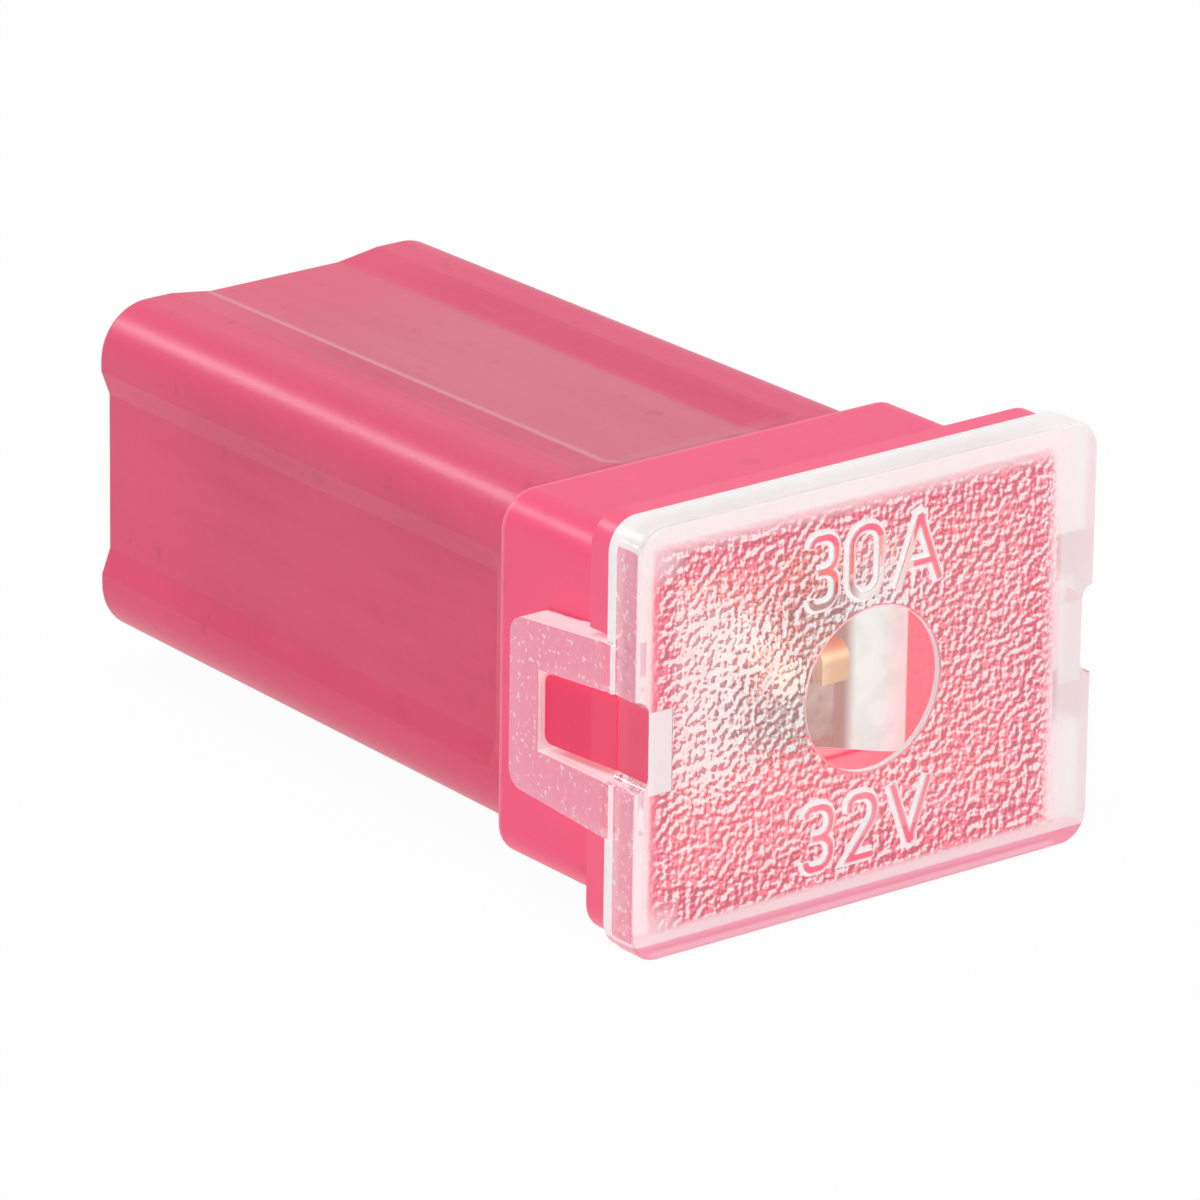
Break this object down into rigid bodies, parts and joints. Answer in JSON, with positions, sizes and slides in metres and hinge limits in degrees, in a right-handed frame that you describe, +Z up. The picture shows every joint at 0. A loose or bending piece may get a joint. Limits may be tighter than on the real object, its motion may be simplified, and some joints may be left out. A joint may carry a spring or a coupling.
{
  "type": "fusible link",
  "caption": "Plug-in fusible link lying on its side: lobed housing with female blade terminals under a clear clip-on lid with two latch arms.",
  "frame": {"origin": "under the middle of the link, on the plane that the lid's lower edge stands on", "axes": "+Y from the clear lid to the blade slots, +Z up as the link lies on its side, +X across the lid"},
  "size_m": [0.0154, 0.0258, 0.0117],
  "materials": {
    "housing": "semi-gloss moulded nylon",
    "lid": "clear, pebbled front face",
    "fuse_element": "tin-plated copper alloy",
    "tin_chip": "dull tin alloy"
  },
  "bodies": {
    "root": {"housing": "housing", "lid": "lid", "fuse_element": "fuse_element", "tin_chip": "tin_chip"}
  },
  "joints": []
}
